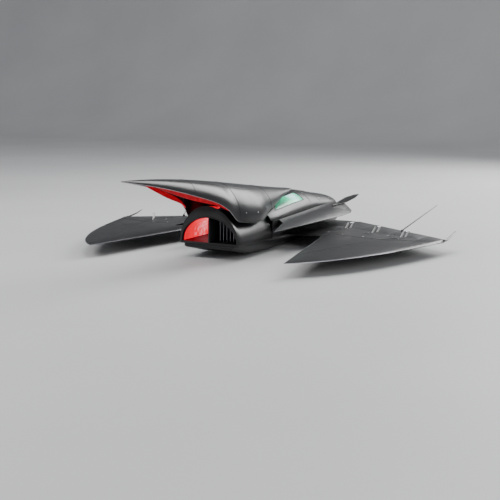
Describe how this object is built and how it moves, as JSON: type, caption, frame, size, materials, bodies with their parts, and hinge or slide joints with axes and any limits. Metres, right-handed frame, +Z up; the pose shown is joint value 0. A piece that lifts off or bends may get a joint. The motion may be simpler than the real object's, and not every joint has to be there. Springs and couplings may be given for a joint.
{
  "type": "rc flying wing",
  "caption": "Radio-controlled flying wing with a beaked lifting hood, twin ducted fans in a split intake, barbed swept wings and linked control surfaces.",
  "frame": {"origin": "centre of the belly skid's flat face, which the aircraft rests on", "axes": "+X to port, +Y aft, +Z up; the beak points along -Y"},
  "size_m": [1, 1.034, 0.222],
  "materials": {
    "shell_black": "satin black paint over moulded foam, fine grain",
    "hood_graphite": "satin graphite paint, soft sheen",
    "carbon": "carbon fibre weave under satin resin",
    "nylon_white": "natural moulded nylon",
    "steel": "bright drawn steel",
    "motor_metal": "anodised aluminium",
    "rotor_black": "glass-filled nylon",
    "servo_plastic": "moulded plastic",
    "battery_wrap": "shrink wrap",
    "strap_webbing": "woven webbing",
    "board_green": "solder mask",
    "heat_shrink": "heat shrink",
    "lamp_red": "glowing lamp",
    "lens_green": "tinted lens lit from within",
    "lens_red": "tinted lens lit from within",
    "skid_plate": "scuffed hard plastic"
  },
  "bodies": {
    "airframe": {"centre_hull": "shell_black", "belly_skid": "skid_plate", "rear_deck": "shell_black", "intake_block": "shell_black", "intake_splitter": "hood_graphite", "port_inlet_duct": "carbon", "starboard_inlet_duct": "carbon", "port_fan_shroud": "carbon", "starboard_fan_shroud": "carbon", "port_motor": "motor_metal", "starboard_motor": "motor_metal", "port_exhaust": "carbon", "starboard_exhaust": "carbon", "hood_hinge_pin": "steel", "port_wing": "shell_black", "starboard_wing": "shell_black", "wing_spars": "carbon", "port_strake": "hood_graphite", "starboard_strake": "hood_graphite", "port_tail_fin": "shell_black", "starboard_tail_fin": "shell_black", "port_tip_spike": "shell_black", "starboard_tip_spike": "shell_black", "port_antenna": "carbon", "starboard_antenna": "carbon", "servos": "servo_plastic", "battery": "battery_wrap", "battery_strap": "strap_webbing", "flight_controller": "board_green", "speed_controllers": "heat_shrink", "hood_lamp": "lamp_red", "port_lamp_window": "lens_green", "starboard_lamp_window": "lens_red"},
    "hood": {"nose_hood": "hood_graphite"},
    "port_fan": {"port_rotor": "rotor_black"},
    "port_flap": {"port_flap": "hood_graphite", "port_flap_horn": "nylon_white"},
    "port_flap_servo_arm": {"port_flap_arm": "nylon_white"},
    "port_flap_pushrod": {"port_flap_rod": "steel"},
    "port_elevon": {"port_elevon": "hood_graphite", "port_elevon_horn": "nylon_white"},
    "port_elevon_servo_arm": {"port_elevon_arm": "nylon_white"},
    "port_elevon_pushrod": {"port_elevon_rod": "steel"},
    "port_aileron": {"port_aileron": "hood_graphite", "port_aileron_horn": "nylon_white"},
    "port_aileron_servo_arm": {"port_aileron_arm": "nylon_white"},
    "port_aileron_pushrod": {"port_aileron_rod": "steel"},
    "starboard_fan": {"starboard_rotor": "rotor_black"},
    "starboard_flap": {"starboard_flap": "hood_graphite", "starboard_flap_horn": "nylon_white"},
    "starboard_flap_servo_arm": {"starboard_flap_arm": "nylon_white"},
    "starboard_flap_pushrod": {"starboard_flap_rod": "steel"},
    "starboard_elevon": {"starboard_elevon": "hood_graphite", "starboard_elevon_horn": "nylon_white"},
    "starboard_elevon_servo_arm": {"starboard_elevon_arm": "nylon_white"},
    "starboard_elevon_pushrod": {"starboard_elevon_rod": "steel"},
    "starboard_aileron": {"starboard_aileron": "hood_graphite", "starboard_aileron_horn": "nylon_white"},
    "starboard_aileron_servo_arm": {"starboard_aileron_arm": "nylon_white"},
    "starboard_aileron_pushrod": {"starboard_aileron_rod": "steel"}
  },
  "joints": [
    {"name": "hood_lift", "type": "hinge", "parent": "airframe", "child": "hood", "pos_m": [0, 0.148, 0.133], "axis": [-1, 0, 0], "range_deg": [0, 35]},
    {"name": "port_fan_spin", "type": "hinge", "parent": "airframe", "child": "port_fan", "pos_m": [0.038, -0.008, 0.073], "axis": [0, -1, 0], "continuous": true},
    {"name": "port_flap_hinge", "type": "hinge", "parent": "airframe", "child": "port_flap", "pos_m": [0.204, 0.14194, 0.034], "axis": [-0.9061, 0.4231, 0], "range_deg": [-20, 20]},
    {"name": "port_flap_servo", "type": "hinge", "parent": "airframe", "child": "port_flap_servo_arm", "pos_m": [0.19638, 0.12563, 0.034], "axis": [-0.9061, 0.4231, 0], "range_deg": [-20, 20]},
    {"name": "port_flap_rod_pivot", "type": "hinge", "parent": "port_flap_servo_arm", "child": "port_flap_pushrod", "pos_m": [0.20172, 0.13706, 0.05202], "axis": [-0.9061, 0.4231, 0], "range_deg": [-20, 20]},
    {"name": "port_elevon_hinge", "type": "hinge", "parent": "airframe", "child": "port_elevon", "pos_m": [0.298, 0.09804, 0.034], "axis": [-0.9061, 0.4231, 0], "range_deg": [-20, 20]},
    {"name": "port_elevon_servo", "type": "hinge", "parent": "airframe", "child": "port_elevon_servo_arm", "pos_m": [0.29038, 0.08173, 0.034], "axis": [-0.9061, 0.4231, 0], "range_deg": [-20, 20]},
    {"name": "port_elevon_rod_pivot", "type": "hinge", "parent": "port_elevon_servo_arm", "child": "port_elevon_pushrod", "pos_m": [0.29572, 0.09316, 0.05202], "axis": [-0.9061, 0.4231, 0], "range_deg": [-20, 20]},
    {"name": "port_aileron_hinge", "type": "hinge", "parent": "airframe", "child": "port_aileron", "pos_m": [0.3908, 0.0547, 0.034], "axis": [-0.9061, 0.4231, 0], "range_deg": [-20, 20]},
    {"name": "port_aileron_servo", "type": "hinge", "parent": "airframe", "child": "port_aileron_servo_arm", "pos_m": [0.38318, 0.03839, 0.034], "axis": [-0.9061, 0.4231, 0], "range_deg": [-20, 20]},
    {"name": "port_aileron_rod_pivot", "type": "hinge", "parent": "port_aileron_servo_arm", "child": "port_aileron_pushrod", "pos_m": [0.38852, 0.04982, 0.05202], "axis": [-0.9061, 0.4231, 0], "range_deg": [-20, 20]},
    {"name": "starboard_fan_spin", "type": "hinge", "parent": "airframe", "child": "starboard_fan", "pos_m": [-0.038, -0.008, 0.073], "axis": [0, -1, 0], "continuous": true},
    {"name": "starboard_flap_hinge", "type": "hinge", "parent": "airframe", "child": "starboard_flap", "pos_m": [-0.204, 0.14194, 0.034], "axis": [-0.9061, -0.4231, 0], "range_deg": [-20, 20]},
    {"name": "starboard_flap_servo", "type": "hinge", "parent": "airframe", "child": "starboard_flap_servo_arm", "pos_m": [-0.19638, 0.12563, 0.034], "axis": [-0.9061, -0.4231, 0], "range_deg": [-20, 20]},
    {"name": "starboard_flap_rod_pivot", "type": "hinge", "parent": "starboard_flap_servo_arm", "child": "starboard_flap_pushrod", "pos_m": [-0.20172, 0.13706, 0.05202], "axis": [-0.9061, -0.4231, 0], "range_deg": [-20, 20]},
    {"name": "starboard_elevon_hinge", "type": "hinge", "parent": "airframe", "child": "starboard_elevon", "pos_m": [-0.298, 0.09804, 0.034], "axis": [-0.9061, -0.4231, 0], "range_deg": [-20, 20]},
    {"name": "starboard_elevon_servo", "type": "hinge", "parent": "airframe", "child": "starboard_elevon_servo_arm", "pos_m": [-0.29038, 0.08173, 0.034], "axis": [-0.9061, -0.4231, 0], "range_deg": [-20, 20]},
    {"name": "starboard_elevon_rod_pivot", "type": "hinge", "parent": "starboard_elevon_servo_arm", "child": "starboard_elevon_pushrod", "pos_m": [-0.29572, 0.09316, 0.05202], "axis": [-0.9061, -0.4231, 0], "range_deg": [-20, 20]},
    {"name": "starboard_aileron_hinge", "type": "hinge", "parent": "airframe", "child": "starboard_aileron", "pos_m": [-0.3908, 0.0547, 0.034], "axis": [-0.9061, -0.4231, 0], "range_deg": [-20, 20]},
    {"name": "starboard_aileron_servo", "type": "hinge", "parent": "airframe", "child": "starboard_aileron_servo_arm", "pos_m": [-0.38318, 0.03839, 0.034], "axis": [-0.9061, -0.4231, 0], "range_deg": [-20, 20]},
    {"name": "starboard_aileron_rod_pivot", "type": "hinge", "parent": "starboard_aileron_servo_arm", "child": "starboard_aileron_pushrod", "pos_m": [-0.38852, 0.04982, 0.05202], "axis": [-0.9061, -0.4231, 0], "range_deg": [-20, 20]}
  ],
  "couplings": [
    {"joint": "port_flap_servo", "follows": "port_flap_hinge", "ratio": 1},
    {"joint": "port_flap_rod_pivot", "follows": "port_flap_hinge", "ratio": -1},
    {"joint": "port_elevon_servo", "follows": "port_elevon_hinge", "ratio": 1},
    {"joint": "port_elevon_rod_pivot", "follows": "port_elevon_hinge", "ratio": -1},
    {"joint": "port_aileron_servo", "follows": "port_aileron_hinge", "ratio": 1},
    {"joint": "port_aileron_rod_pivot", "follows": "port_aileron_hinge", "ratio": -1},
    {"joint": "starboard_flap_servo", "follows": "starboard_flap_hinge", "ratio": 1},
    {"joint": "starboard_flap_rod_pivot", "follows": "starboard_flap_hinge", "ratio": -1},
    {"joint": "starboard_elevon_servo", "follows": "starboard_elevon_hinge", "ratio": 1},
    {"joint": "starboard_elevon_rod_pivot", "follows": "starboard_elevon_hinge", "ratio": -1},
    {"joint": "starboard_aileron_servo", "follows": "starboard_aileron_hinge", "ratio": 1},
    {"joint": "starboard_aileron_rod_pivot", "follows": "starboard_aileron_hinge", "ratio": -1}
  ]
}
